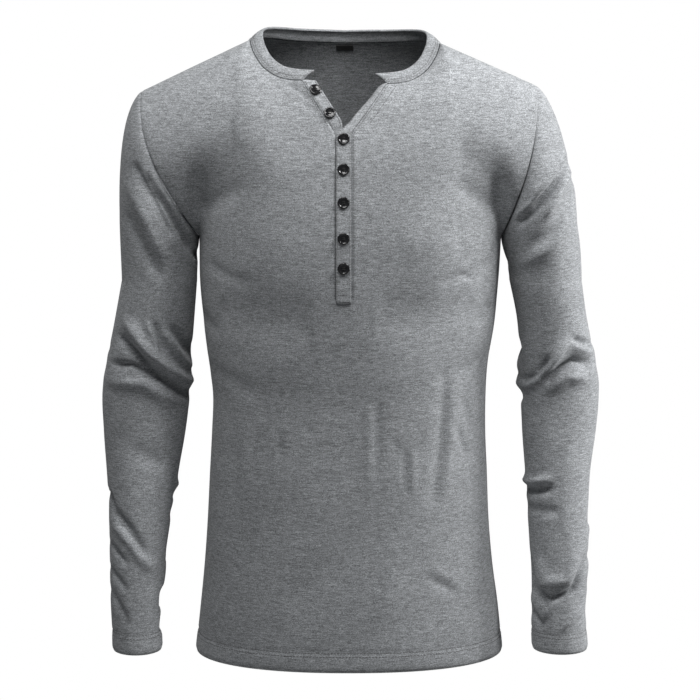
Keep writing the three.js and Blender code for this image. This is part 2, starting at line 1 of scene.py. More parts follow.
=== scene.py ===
"""Looks of the long-sleeve henley: jersey shells with folds, seams and stitching, buttons."""
import math
import bpy
import numpy as np
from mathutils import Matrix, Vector


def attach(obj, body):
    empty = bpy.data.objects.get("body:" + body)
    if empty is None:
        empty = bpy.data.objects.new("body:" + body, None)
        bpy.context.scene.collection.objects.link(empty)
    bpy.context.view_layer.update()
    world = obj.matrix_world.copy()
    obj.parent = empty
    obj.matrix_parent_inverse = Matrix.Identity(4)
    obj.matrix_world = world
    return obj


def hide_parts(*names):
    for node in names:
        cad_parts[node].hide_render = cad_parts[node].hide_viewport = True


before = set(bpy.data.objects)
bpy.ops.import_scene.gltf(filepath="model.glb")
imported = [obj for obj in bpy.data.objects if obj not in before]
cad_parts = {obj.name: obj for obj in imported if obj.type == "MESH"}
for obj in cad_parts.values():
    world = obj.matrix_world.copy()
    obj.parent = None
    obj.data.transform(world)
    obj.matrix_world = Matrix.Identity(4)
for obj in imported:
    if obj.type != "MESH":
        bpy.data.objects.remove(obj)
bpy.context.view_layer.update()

# Sizes are in millimetres and angles in degrees, until MM makes metres of them. A side is
# -1 for the wearer's right and 1 for the left; a face is -1 for the front and 1 for the back.
MM = 0.001
HEM_Z, HEM_FOLD, CUFF_Z = -627.0, 22.0, -618.0
STITCH_ROWS = (HEM_FOLD - 4, HEM_FOLD)   # the two stitch lines of a hem, above its edge
UNDERARM_Z, RING_TOP = -157.0, -208.0
SQUARENESS = 2.25                        # 2 is an ellipse, more is squarer
SCYE_DEPTH = 66.0                        # how far the armhole bows forward and back
SHOULDER_SHARE, SHOULDER_Y = 0.5, -4.0   # the columns that end on the shoulder seam
SIDE_ZONE, YOKE_START, SIDE_FADE = 0.3, 0.5, 1.5
FRONT_NECK_ANGLE, BACK_NECK_ANGLE = 60.0, 62.0
PLACKET_FOOT, PLACKET_OPEN, PLACKET_BEND = -220.0, -40.0, 15.0
SLOT = {-1: -10.0, 1: 7.0}               # x of the placket slot's two edges
NECK_SIDE, NECK_FRONT = 90.0, 156.0      # turns at the shoulder and at the placket
CLOTH, BINDING_CLOTH, BAND_CLOTH = 1.2, 2.4, 1.6
FOLD_CRISPNESS = 0.85                    # share of a fold's reach where it falls to 1 / e
SLEEVE_FOLD_GAIN = 1.9                   # sleeve folds against the body's


def table(names, *rows):
    """Columns by name from rows of numbers."""
    return {n: np.array([r[i] for r in rows], float) for i, n in enumerate(names.split())}


# The torso by height: half its width, its centre line, and its depth forward and back.
BODY = table(
    "z half shift front back",
    (-627, 174.0, 4.6, 119, 113), (-574, 168.0, 4.5, 115, 109), (-527, 162.3, 3.6, 111, 105),
    (-481, 158.6, 3.4, 108, 102), (-424, 156.0, 3.9, 106, 101), (-378, 153.6, 4.2, 105, 100),
    (-335, 152.8, 5.0, 106, 101), (-298, 156.0, 3.8, 110, 105), (-253, 162.0, 4.3, 116, 111),
    (-208, 166.0, 4.4, 120, 116), (-157, 167.6, 5.8, 122, 119))
SHOULDER = {-1: (224.0, 2.0, 0.0), 1: (211.0, 8.0, 3.5)}   # out, up, drop of the neck
# Half the neck by its turn from the back: its seam, and the free edge of the binding.
NECK = table(
    "turn seamX seamY seamZ edgeX edgeY edgeZ",
    (0, 0, 69, 53.5, 0, 62, 67.5), (35, 53, 62, 56, 49, 54, 69.5), (60, 86, 43, 60, 75, 38, 71.5),
    (76, 100, 20, 61, 87, 18, 71), (90, 104, -4, 58, 90, -3, 66), (103, 100, -28, 46, 87.5, -23, 54),
    (117, 89.5, -49, 31, 79, -41, 40), (131, 75, -62, 21, 66, -53, 31),
    (144, 60, -71, 17, 51, -62, 28), (156, 46, -76, 16.5, 33, -68, 27))
SLEEVE = {
    -1: table(
        "z x y wide deep",
        (-618, 232.4, -45, 27.6, 33), (-574, 234.2, -38, 27.8, 34), (-527, 233.0, -30, 30.0, 38),
        (-481, 230.7, -20, 33.9, 42), (-424, 227.2, -8, 40.2, 45), (-378, 224.7, 1, 46.0, 47),
        (-335, 223.4, 6, 49.4, 50), (-298, 220.2, 6, 47.2, 52), (-253, 213.6, 4, 44.3, 53),
        (-208, 207.0, 2, 41.8, 54)),
    1: table(
        "z x y wide deep",
        (-618, 241.0, -41, 31.0, 34), (-574, 239.6, -35, 30.7, 35), (-527, 240.2, -28, 32.4, 38),
        (-481, 239.1, -19, 33.4, 41), (-424, 239.2, -8, 36.6, 44), (-378, 240.4, 1, 41.3, 47),
        (-335, 241.2, 6, 43.8, 50), (-298, 238.8, 6, 42.6, 52), (-253, 232.0, 4, 39.0, 53),
        (-208, 224.0, 2, 40.2, 54)),
}
# Folds: the way each one runs, seen from the front as (x, z), how far it reaches to each
# side and how far it stands out (or in, below 0).
FRONT_FOLDS = [
    ([(124, -191), (142, -199)], 4, -2.2),
    ([(34, -329), (35, -372), (34, -417)], 5, -2.4), ([(27, -335), (27, -415)], 6, 1.6),
    ([(55, -371), (55, -384)], 3.5, -1.5),
    ([(66, -383), (67, -431)], 4.5, -2.2), ([(73, -385), (73, -430)], 5, 1.6),
    ([(-71, -363), (-71, -397)], 4, -1.6), ([(-40, -353), (-40, -367)], 4, -1.3),
    ([(109, -304), (106, -370), (98, -440)], 8, -3.2),
    ([(119, -304), (116, -370), (108, -440)], 9, 2.6),
    ([(129, -329), (137, -350), (139, -377)], 6, -2.2),
    ([(119, -359), (127, -372), (135, -397)], 5, -2.2),
    ([(92, -526), (124, -546)], 5, -2.0), ([(96, -515), (126, -534)], 7, 1.2),
    ([(-122, -353), (-124, -467)], 7, -1.8), ([(-108, -330), (-106, -450)], 9, 1.2),
    ([(-61, 12), (-41, -1)], 3, -1.2), ([(-44, -8), (-33, -16)], 3, -1.3),
    ([(-160, -128), (-110, -95)], 11, -3.0), ([(165, -125), (118, -92)], 11, -3.0),
    ([(-150, -300), (-95, -322)], 10, -1.8), ([(152, -288), (104, -306)], 9, -1.8),
    ([(-60, -560), (-20, -500)], 16, -1.6), ([(40, -570), (60, -480)], 18, 1.6),
    ([(-135, -222), (-95, -240), (-35, -238)], 34, -5.5),
    ([(140, -218), (95, -238), (35, -238)], 34, -5.0),
    ([(-120, -150), (-60, -160)], 40, 3.0), ([(120, -150), (60, -160)], 40, 3.0),
    ([(-150, -182), (-128, -196), (-100, -201)], 8, -2.0),
    ([(156, -180), (134, -193), (104, -199)], 8, -2.0),
    ([(-158, -240), (-140, -262)], 7, -2.2), ([(160, -226), (146, -250)], 7, -2.2),
]
BACK_FOLDS = [
    ([(-150, -290), (-80, -330), (-30, -338)], 10, -3.0),
    ([(150, -296), (90, -330), (20, -345)], 10, -3.0),
    ([(-145, -270), (-70, -308)], 11, 2.4), ([(148, -272), (80, -308)], 11, 2.4),
    ([(-40, -345), (-50, -450)], 8, -2.2), ([(48, -350), (60, -440)], 8, -2.4),
    ([(0, -350), (4, -420)], 7, 1.8), ([(-165, -130), (-110, -90)], 12, -3.2),
    ([(165, -128), (112, -90)], 12, -3.2), ([(-100, -530), (-60, -480)], 12, -1.8),
    ([(90, -560), (70, -470)], 14, 1.8),
]
SLEEVE_FOLDS = {
    -1: [
        ([(-228, -78), (-205, -115), (-186, -153)], 6, -4.5),
        ([(-214, -90), (-190, -130), (-169, -169)], 5.5, -4.5),
        ([(-202, -104), (-180, -146), (-162, -183)], 5, -4.0),
        ([(-221, -84), (-197, -124), (-177, -160)], 5, 3.2),
        ([(-207, -98), (-184, -139), (-165, -174)], 4.5, 3.2),
        ([(-236, -95), (-214, -140), (-200, -175)], 8, 2.6),
        ([(-240, -130), (-222, -168), (-200, -200)], 8, -2.4),
        ([(-239, -250), (-214, -285), (-173, -324)], 7, 5.5),
        ([(-249, -268), (-228, -288), (-207, -307)], 6, -5.5),
        ([(-258, -299), (-237, -298), (-198, -316), (-174, -338)], 5, -4.5),
        ([(-262, -318), (-222, -318), (-188, -342)], 9, 3.0),
        ([(-216, -250), (-206, -284)], 4, 2.6), ([(-210, -250), (-199, -286)], 4, -2.4),
        ([(-198, -261), (-174, -306)], 4.5, 3.2), ([(-190, -256), (-168, -296)], 5, -2.8),
        ([(-265, -443), (-258, -460)], 4, -3.5),
        ([(-258, -460), (-240, -478), (-221, -508)], 6, -4.0),
        ([(-256, -474), (-236, -494), (-216, -524)], 7, 2.8),
        ([(-261, -498), (-242, -517)], 4, -2.4), ([(-261, -525), (-243, -545)], 4, -2.2),
        ([(-260, -550), (-242, -580)], 4.5, -2.4), ([(-236, -390), (-200, -410)], 12, -1.8),
    ],
    1: [
        ([(238, -69), (222, -86), (203, -107)], 5, 3.6),
        ([(243, -77), (228, -96), (206, -120)], 5, -4.2),
        ([(246, -84), (233, -104), (218, -130)], 5, 3.4),
        ([(233, -98), (210, -118), (190, -140)], 5, -4.2),
        ([(227, -88), (206, -112), (188, -132)], 4, 2.6),
        ([(186, -108), (176, -130), (171, -150)], 5, -4.0),
        ([(250, -110), (232, -140), (205, -165)], 8, -2.4),
        ([(246, -135), (225, -165), (195, -185)], 9, 2.4),
        ([(252, -268), (275, -279)], 3.5, -3.4), ([(252, -277), (275, -288)], 5, 2.0),
        ([(222, -312), (236, -300), (251, -292), (270, -298)], 4.5, -4.4),
        ([(243, -271), (227, -300), (201, -326)], 6, 5.2),
        ([(226, -289), (214, -310), (200, -320)], 4.5, -4.4),
        ([(222, -328), (245, -310), (268, -314)], 8, 2.8),
        ([(200, -433), (228, -424)], 5, 3.2), ([(201, -444), (230, -434)], 5, -3.4),
        ([(202, -462), (236, -459)], 7, -2.2),
        ([(204, -513), (211, -548), (226, -558), (254, -546), (268, -513)], 5, -4.0),
        ([(214, -516), (221, -539), (246, -535), (258, -510)], 8, 2.8),
        ([(206, -551), (224, -566)], 4, -3.4),
        ([(205, -570), (218, -588), (225, -577)], 4, -2.8),
        ([(240, -590), (262, -570)], 5, 1.8),
    ],
}
BUTTONS = [6.0, -18.0, -45.0, -77.0, -112.0, -150.0, -182.0]   # heights, top to bottom


# ---------- shape functions ----------
def lerp(a, b, t):
    return a + (b - a) * t


def smooth(t):
    t = np.clip(t, 0, 1)
    return t * t * (3 - 2 * t)


def column(rows, key, name, at):
    """One column of a table at any value of its key, smooth through the rows."""
    k, v = rows[key], rows[name]
    slope = np.empty_like(v)
    slope[1:-1] = (v[2:] - v[:-2]) / (k[2:] - k[:-2])
    slope[0], slope[-1] = (v[1] - v[0]) / (k[1] - k[0]), (v[-1] - v[-2]) / (k[-1] - k[-2])
    at = np.asarray(at, float)
    i = np.clip(np.searchsorted(k, at, side="right") - 1, 0, len(k) - 2)
    span = k[i + 1] - k[i]
    t = np.clip((at - k[i]) / span, 0, 1)
    bend = slope[i] * span * (1 - t) - slope[i + 1] * span * t
    return lerp(v[i], v[i + 1], smooth(t)) + bend * t * (1 - t)


def points(x, y, z):
    return np.stack(np.broadcast_arrays(x, y, z), -1).astype(float)


def torso(z, angle, side, face):
    """A point of the body's section at a height, by its angle from the side seam."""
    depth = column(BODY, "z", "front" if face < 0 else "back", z)
    half = column(BODY, "z", "half", z)
    power = 2 / SQUARENESS
    x = column(BODY, "z", "shift", z) + side * half * np.cos(angle).clip(0) ** power
    return points(x, face * depth * np.sin(angle).clip(0) ** power, z)


def last_angle(z, side, face):
    """The angle where a panel's half ends: the back's middle, or the edge of the slot."""
    if face > 0:
        return math.pi / 2
    reach = np.abs(SLOT[side] - column(BODY, "z", "shift", z))
    return np.arccos((reach / column(BODY, "z", "half", z)) ** (SQUARENESS / 2))


def lower(u, z, side, face):
    """A panel below the underarm, u from the side seam to the middle."""
    return torso(z, u * last_angle(z, side, face), side, face)


def neck(turn, side, line):
    """A point of the binding's seam or edge, by its turn from the middle of the back."""
    drop = SHOULDER[side][2] * smooth(turn / NECK_SIDE)
    x, y, z = (column(NECK, "turn", line + axis, turn) for axis in "XYZ")
    return points(side * x, y, z - drop)


def tip(side):
    """The shoulder's outer end, at the top of the armhole."""
    return np.array([side * SHOULDER[side][0], SHOULDER_Y, SHOULDER[side][1]])


def top(u, side, face):
    """A panel's upper edge: the shoulder seam, then the neck."""
    u = np.asarray(u, float)
    along = np.clip(u / SHOULDER_SHARE, 0, 1)[..., None]
    seam = lerp(tip(side), neck(NECK_SIDE, side, "seam"), along)
    t = np.clip((u - SHOULDER_SHARE) / (1 - SHOULDER_SHARE), 0, 1)
    line = neck(lerp(NECK_SIDE, NECK_FRONT if face < 0 else 0.0, t), side, "seam")
    return np.where((u <= SHOULDER_SHARE)[..., None], seam, line)


def armhole(s, side, face):
    """The armhole's half on one face, s from the underarm to the shoulder."""
    foot = torso(UNDERARM_Z, 0.0, side, face)
    end = tip(side)
    t = (1 - np.cos(np.pi * s)) / 2
    stand = np.sqrt(np.sin(np.pi * t).clip(0))
    return points(
        lerp(foot[0], end[0], np.sin(np.pi * t / 2)),
        lerp(0, end[1], t) + face * SCYE_DEPTH * stand,
        lerp(foot[2], end[2], t))


def plain_yoke(u, s, side, face):
    """A panel above the underarm before the armhole and the slot shape it."""
    start = lower(u, UNDERARM_Z, side, face)
    end = top(u, side, face)
    inward = smooth((u - SHOULDER_SHARE) / (1 - SHOULDER_SHARE))
    turn = np.radians(lerp(90.0, FRONT_NECK_ANGLE if face < 0 else BACK_NECK_ANGLE, inward))
    back = (np.cos(s * turn) - np.cos(turn)) / (1 - np.cos(turn))
    rise = np.sin(s * turn) / np.sin(turn)
    share = s * s * (2 - s)
    return points(
        lerp(start[..., 0], end[..., 0], share),
        lerp(end[..., 1], start[..., 1], back),
        lerp(start[..., 2], end[..., 2], rise))


def slot_x(z, side):
    """The slot's edge by height: upright, then leaning out to the open neck."""
    end = neck(NECK_FRONT, side, "seam")
    return lerp(SLOT[side], end[0], np.clip((z - PLACKET_OPEN) / (end[2] - PLACKET_OPEN), 0, 1))


def upper(u, s, side, face):
    """A panel above the underarm, u from the side to the middle and s from below to its top."""
    u, s = np.broadcast_arrays(np.asarray(u, float), np.asarray(s, float))
    spot = plain_yoke(u, s, side, face)
    seam = armhole(s, side, face) - plain_yoke(np.zeros_like(s), s, side, face)
    start = lerp(1.0, smooth(s / YOKE_START), smooth(u / SIDE_ZONE))
    spot = spot + seam * (start * (1 - u) ** SIDE_FADE)[..., None]
    if face < 0:
        middle = plain_yoke(np.ones_like(s), s, side, face)
        spot[..., 0] += u ** 3 * (slot_x(middle[..., 2], side) - middle[..., 0])
    return spot


def spread(count, edge=0.006):
    """Shares 0 to 1 across a piece, closer together at its first edge."""
    return np.concatenate([[0, edge * 0.4, edge], np.linspace(edge * 2, 1, count - 2)])


def panel_grid(face, across=74, low_rows=150, high_rows=72):
    """Points of a panel, rows from hem to top, each from the wearer's right to left."""
    u = spread(across)
    z = np.linspace(HEM_Z, UNDERARM_Z, low_rows)[:, None]
    s = 1 - spread(high_rows)[::-1]
    s = s[s > 0][:, None]
    halves = []
    for side in (-1, 1):
        low = lower(u[None, :], z, side, face)
        high = upper(u[None, :], s, side, face)
        halves.append(np.concatenate([low, high]))
    left = halves[1][:, ::-1]
    return np.concatenate([halves[0], left if face < 0 else left[:, 1:]], axis=1)


def normals_of(grid, turn, loop=False):
    """Unit normals of a grid; turn is 1 or -1 and picks the side they point to."""
    if loop:
        along = np.roll(grid, -1, 1) - np.roll(grid, 1, 1)
    else:
        along = np.gradient(grid, axis=1)
    up = np.gradient(grid, axis=0)
    n = np.cross(along, up) * turn
    return n / np.maximum(np.linalg.norm(n, axis=-1, keepdims=True), 1e-9)


def fold_height(x, z, folds):
    """Sum of the folds at places seen from the front."""
    total = np.zeros_like(x)
    for way, reach, rise in folds:
        best = np.full(x.shape, 1e9)
        share = np.zeros_like(x)
        lengths = [math.dist(a, b) for a, b in zip(way, way[1:])]
        done = 0.0
        for (ax, az), (bx, bz), length in zip(way, way[1:], lengths):
            t = np.clip(((x - ax) * (bx - ax) + (z - az) * (bz - az)) / length ** 2, 0, 1)
            off = np.hypot(x - ax - t * (bx - ax), z - az - t * (bz - az))
            nearer = off < best
            best = np.where(nearer, off, best)
            share = np.where(nearer, (done + t * length) / sum(lengths), share)
            done += length
        ends = 0.25 + 0.75 * np.sqrt(np.sin(np.pi * share).clip(0))
        total += rise * ends * np.exp(-(best / (FOLD_CRISPNESS * reach)) ** 2)
    return total


def ripple(x, z, seed, size=60.0):
    """Slow unevenness of hanging cloth, a millimetre or so."""
    a = np.sin(x / size * 1.7 + seed) * np.cos(z / size * 1.1 + seed * 1.7)
    b = np.sin((x + 0.6 * z) / size * 2.3 + seed * 2.1)
    return 0.6 * a + 0.4 * b


def hem_shape(height):
    """Turned-up edge: a rolled rim, and a dent along each of the two stitch lines."""
    rim = -1.4 * np.exp(-(height / 2.2) ** 2)
    dents = sum(-0.7 * np.exp(-((height - h) / 1.6) ** 2) for h in STITCH_ROWS)
    return rim + dents + 0.5 * smooth((HEM_FOLD - height) / 3)


def seam_dent(distance, depth=0.7, width=1.8):
    """The dip of cloth pulled in along a seam."""
    return -depth * np.exp(-(distance / width) ** 2)


def row_distance(grid):
    """Distance of each point along its row from the row's first and last point."""
    steps = np.linalg.norm(np.diff(grid, axis=1), axis=-1)
    run = np.concatenate([np.zeros((len(grid), 1)), np.cumsum(steps, 1)], 1)
    return run, run[:, -1:] - run


def column_distance(grid):
    """Distance of each point along its column from the column's first and last point."""
    steps = np.linalg.norm(np.diff(grid, axis=0), axis=-1)
    run = np.concatenate([np.zeros((1, grid.shape[1])), np.cumsum(steps, 0)], 0)
    return run, run[-1:] - run


# ---------- meshes ----------
def make(name, grid, loop=False, keep=None, flip=False):
    """A mesh through a grid of points in millimetres, closed round if it is a loop."""
    rows, cols = grid.shape[:2]
    i, j = np.meshgrid(np.arange(rows - 1), np.arange(cols if loop else cols - 1), indexing="ij")
    k = (j + 1) % cols
    quads = np.stack([i * cols + j, i * cols + k, (i + 1) * cols + k, (i + 1) * cols + j], -1)
    if keep is not None:
        quads = quads[keep]
    quads = quads.reshape(-1, 4)
    if flip:
        quads = quads[:, ::-1]
    return mesh(name, grid.reshape(-1, 3) * MM, quads.tolist())


def mesh(name, verts, faces):
    data = bpy.data.meshes.new(name)
    data.from_pydata([tuple(v) for v in verts], [], faces)
    data.validate()
    data.polygons.foreach_set("use_smooth", [True] * len(data.polygons))
    thing = bpy.data.objects.new(name, data)
    bpy.context.scene.collection.objects.link(thing)
    return thing


def ladder(verts, faces, rungs):
    """Add a narrow strip: a list of pairs of points, joined pair to pair."""
    base = len(verts)
    for pair in rungs:
        verts.extend(pair)
    for a in range(base, base + 2 * len(rungs) - 2, 2):
        faces.append((a, a + 1, a + 3, a + 2))


def thicken(thing, thick):
    mod = thing.modifiers.new("thickness", "SOLIDIFY")
    mod.thickness, mod.offset = thick * MM, -1.0
    mod.use_even_offset = False


# ---------- materials ----------
def nodes_of(name):
    mat = bpy.data.materials.new(name)
    mat.use_nodes = True
    tree = mat.node_tree
    return mat, tree, tree.nodes["Principled BSDF"]


def link(tree, a, out, b, into):
    """Join an output of one node to an input of another, by name or number."""
    tree.links.new(a.outputs[out], b.inputs[into])


def noise(tree, coords, detail, stretch):
    """Noise in the object's own metres; stretch is how fine it is along x, y and z."""
    mapping = tree.nodes.new("ShaderNodeMapping")
    mapping.inputs["Scale"].default_value = stretch
    link(tree, coords, "Object", mapping, "Vector")
    tex = tree.nodes.new("ShaderNodeTexNoise")
    tex.inputs["Scale"].default_value = 1.0
    tex.inputs["Detail"].default_value = detail
    link(tree, mapping, "Vector", tex, "Vector")
    return tex


def ramp(tree, source, stops):
    """Colours by the value of a noise, from stops of (value, colour)."""
    node = tree.nodes.new("ShaderNodeValToRGB")
    elements = node.color_ramp.elements
    elements[0].position, elements[1].position = stops[0][0], stops[-1][0]
    for where, _ in stops[1:-1]:
        elements.new(where)
    for element, (where, value) in zip(elements, stops):
        element.position = where
        element.color = (*value, 1)
    link(tree, source, "Fac", node, "Fac")
    return node


def multiply(tree, first, first_out, second, second_out):
    """The product of two colours; sockets 6 and 7 of the mix are its colours, 2 its result."""
    mix = tree.nodes.new("ShaderNodeMix")
    mix.data_type, mix.blend_type = "RGBA", "MULTIPLY"
    mix.inputs["Factor"].default_value = 1.0
    link(tree, first, first_out, mix, 6)
    link(tree, second, second_out, mix, 7)
    return mix


def grey(v, warm=-0.012):
    """A grey a little to the blue."""
    return (v * (1 + warm), v, v * (1 - warm))


def heather(name, level, streak=1.0):
    """Grey heather jersey: dark and pale fibres in short flat streaks, soft sheen, fine knit."""
    mat, tree, shader = nodes_of(name)
    coords = tree.nodes.new("ShaderNodeTexCoord")
    slub = noise(tree, coords, 4.0, (120, 120, 860))
    fleck = noise(tree, coords, 2.0, (760, 760, 1800))
    cloud = noise(tree, coords, 2.0, (14, 14, 30))
    swing = 0.34 * streak
    streaks = ramp(tree, slub, [
        (0.30, grey(level * (1 - swing))),
        (0.5, grey(level)),
        (0.72, grey(level * (1 + swing)))])
    grain = ramp(tree, fleck, [(0.34, grey(0.5)), (0.5, grey(0.96)), (0.68, grey(1.5))])
    patches = ramp(tree, cloud, [(0.3, grey(0.93)), (0.7, grey(1.07))])
    yarn = multiply(tree, streaks, "Color", grain, "Color")
    colour = multiply(tree, yarn, 2, patches, "Color")
    link(tree, colour, 2, shader, "Base Color")
    shader.inputs["Roughness"].default_value = 0.94
    shader.inputs["Specular IOR Level"].default_value = 0.15
    shader.inputs["Sheen Weight"].default_value = 0.12
    shader.inputs["Sheen Roughness"].default_value = 0.5
    knit = noise(tree, coords, 2.0, (900, 900, 1300))
    bump = tree.nodes.new("ShaderNodeBump")
    bump.inputs["Strength"].default_value = 0.35
    bump.inputs["Distance"].default_value = 0.0006
    link(tree, knit, "Fac", bump, "Height")
    link(tree, bump, "Normal", shader, "Normal")
    return mat


def plain(name, detail, stretch, dark, pale, roughness):
    """An even material that wanders a little between two colours."""
    mat, tree, shader = nodes_of(name)
    coords = tree.nodes.new("ShaderNodeTexCoord")
    shade = ramp(tree, noise(tree, coords, detail, stretch), [(0.3, dark), (0.7, pale)])
    link(tree, shade, "Color", shader, "Base Color")
    shader.inputs["Roughness"].default_value = roughness
    return mat


def glossy(name):
    return plain(name, 3.0, (400, 400, 400), (0.006, 0.006, 0.007), (0.014, 0.014, 0.015), 0.09)


def tape(name, level):
    return plain(name, 2.0, (2500, 2500, 900), grey(level * 0.6), grey(level * 1.4), 0.8)


JERSEY = heather("jersey", 0.262)
RIB = heather("binding jersey", 0.245, 0.8)
THREAD = tape("thread", 0.12)
GLOSS = glossy("button black")
TAPE = tape("label tape", 0.011)


def dress(thing, mat):
    """Give a piece its material and slot; the whole shirt is one body."""
    thing.data.materials.append(mat)
    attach(thing, "root")


def cloth(name, grid, mat, loop=False, keep=None, flip=False, thick=CLOTH):
    """A finished piece of cloth that stands for the CAD node of the same name."""
    thing = make(name + "_cloth", grid, loop, keep, flip)
    thicken(thing, thick)
    dress(thing, mat)
    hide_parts(name)
    return thing


# ---------- front and back ----------
QUIET = 14.0                   # folds die away this near a seam or an edge
RIPPLE = {"panel": 0.9, "sleeve": 0.7}


def panel(name, face, folds, seed):
    """The front or back; returns its points and normals, which the stitching follows."""
    grid = panel_grid(face)
    n = normals_of(grid, -face)
    start, end = row_distance(grid)
    low, high = column_distance(grid)
    x, z = grid[..., 0], grid[..., 2]
    side = np.minimum(start, end)
    quiet = smooth(side / QUIET) * smooth(low / QUIET) * smooth(high / QUIET)
    rise = (fold_height(x, z, folds) + RIPPLE["panel"] * ripple(x, z, seed)) * quiet
    rise += seam_dent(side) + seam_dent(high, 0.8) + hem_shape(low)
    shaped = grid + n * rise[..., None]
    keep = None
    if face < 0:
        middle = grid.shape[1] // 2 - 1
        keep = np.ones((grid.shape[0] - 1, grid.shape[1] - 1), bool)
        keep[grid[:-1, middle, 2] >= PLACKET_FOOT, middle] = False
    cloth(name, shaped, JERSEY, keep=keep, flip=face > 0)
    return shaped, n


front, front_n = panel("front_panel", -1, FRONT_FOLDS, 0.4)
back, back_n = panel("back_panel", 1, BACK_FOLDS, 2.3)


# ---------- sleeves ----------
CAP_LEAVE, CAP_ARRIVE = (30, 140), (40, 150)   # pull of the cap's curves, underarm and outside
CAP_OUTWARD, CAP_FORWARD, CAP_DOWN = 0.75, 0.2, (1, 0.66)
FACING = (0.35, 0.45)                # sine where the front's folds give way, and over how much
BEHIND = dict(out=4, down=6, swap=16, reach=1.25, rise=0.75)
UNDER_SEAM = dict(width=2.2, depth=0.8, arc=0.75)   # arc: mm of sleeve for each degree round


def ring(turn, z, side):
    """A sleeve's section: turn 0 is the underarm, 90 the front, 180 the outside."""
    at = {k: column(SLEEVE[side], "z", k, z) for k in ("x", "y", "wide", "deep")}
    a = np.radians(turn)
    return points(side * (at["x"] - at["wide"] * np.cos(a)), at["y"] - at["deep"] * np.sin(a), z)


def cap(turn, s, side):
    """The sleeve's head, s from the armhole to its first full ring."""
    front_half = turn <= 180
    share = np.where(front_half, turn / 180, (360 - turn) / 180)
    seam = np.where(front_half[..., None], armhole(share, side, -1), armhole(share, side, 1))
    end = ring(turn, RING_TOP, side)
    a = np.radians(turn)
    outer = (1 - np.cos(a)) / 2
    leave = points(
        side * lerp(0, CAP_OUTWARD, outer),
        -CAP_FORWARD * np.sin(a),
        -lerp(*CAP_DOWN, outer))
    leave *= (lerp(*CAP_LEAVE, outer) / np.linalg.norm(leave, axis=-1))[..., None]
    arrive = points(0.0 * a, 0.0 * a, -lerp(*CAP_ARRIVE, outer))
    s = np.asarray(s)[..., None]
    return lerp(seam, end, smooth(s)) + leave * s * (1 - s) ** 2 + arrive * s * s * (s - 1)


def sleeve_folds(side):
    """Folds of a sleeve's front, and the other sleeve's moved onto its back."""
    front_folds = [
        ([(abs(a), b) for a, b in way], reach, rise)
        for way, reach, rise in SLEEVE_FOLDS[side]]
    shift = BEHIND["out"] + BEHIND["swap"] * side
    back_folds = [
        ([(abs(a) + shift, b - BEHIND["down"]) for a, b in way],
         reach * BEHIND["reach"], rise * BEHIND["rise"])
        for way, reach, rise in SLEEVE_FOLDS[-side]]
    return front_folds, back_folds


def sleeve(name, side, columns=120, cap_rows=60, arm_rows=170):
    """A sleeve from armhole to cuff; returns its points and normals."""
    turn = np.arange(columns)[None, :] * 360.0 / columns
    s = spread(cap_rows, 0.012)[:-1, None]
    turns = np.broadcast_to(turn, (len(s), columns))
    high = cap(turns, np.broadcast_to(s, turns.shape), side)
    z = np.linspace(RING_TOP, CUFF_Z, arm_rows)[:, None]
    turns = np.broadcast_to(turn, (arm_rows, columns))
    low = ring(turns, np.broadcast_to(z, turns.shape), side)
    grid = np.concatenate([high, low])
    n = normals_of(grid, -side, loop=True)
    to_seam, to_cuff = column_distance(grid)
    angle = np.broadcast_to(turn, grid.shape[:2])
    limit, over_much = FACING
    facing = smooth((np.sin(np.radians(angle)) + limit) / over_much)
    behind = smooth((limit - np.sin(np.radians(angle))) / over_much)
    x, z = np.abs(grid[..., 0]), grid[..., 2]
    front_folds, back_folds = sleeve_folds(side)
    quiet = smooth((to_seam - 2) / 12) * smooth((to_cuff - 2) / 20)
    rise = facing * fold_height(x, z, front_folds) + behind * fold_height(x, z, back_folds)
    rise *= SLEEVE_FOLD_GAIN
    rise = (rise + RIPPLE["sleeve"] * ripple(grid[..., 1] + x, z, 1.1 + side, 45.0)) * quiet
    rise += seam_dent(to_seam) + hem_shape(to_cuff)
    under = np.minimum(angle, 360 - angle) * UNDER_SEAM["arc"]
    rise += seam_dent(under, UNDER_SEAM["depth"], UNDER_SEAM["width"]) * smooth(to_seam / 10)
    shaped = grid + n * rise[..., None]
    cloth(name, shaped, JERSEY, loop=True, flip=side > 0)
    return shaped, n


right, right_n = sleeve("sleeve_right", -1)
left, left_n = sleeve("sleeve_left", 1)


# ---------- neck binding ----------
ACROSS = np.linspace(0, 1, 11)                   # from the seam to the free edge
BINDING_WIDE, BINDING_SWELL, DENT_WIDTH = 16, 1.5, 1.3
BINDING_DENTS = [(0.16, 0.7), (0.30, 0.5)]       # share across, and depth of the stitched dents


def neck_stations(count=130):
    """The binding's seam and free edge, from the right of the placket round to its left."""
    around = np.linspace(-NECK_FRONT, NECK_FRONT, count)
    side = np.where(around < 0, -1, 1)
    low = np.stack([neck(abs(a), s, "seam") for a, s in zip(around, side)])
    high = np.stack([neck(abs(a), s, "edge") for a, s in zip(around, side)])
    return low, high


def binding():
    seam_line, edge_line = neck_stations()
    grid = np.stack([lerp(seam_line, edge_line, t) for t in ACROSS])
    n = normals_of(grid, -1)
    rise = BINDING_SWELL * np.sqrt(np.sin(np.pi * ACROSS).clip(0))
    for share, depth in BINDING_DENTS:
        rise = rise - depth * np.exp(-((ACROSS - share) * BINDING_WIDE / DENT_WIDTH) ** 2)
    grid = grid + n * rise[:, None, None]
    cloth("neck_binding", grid, RIB, flip=True, thick=BINDING_CLOTH)
    return grid, n


binding_grid, binding_n = binding()


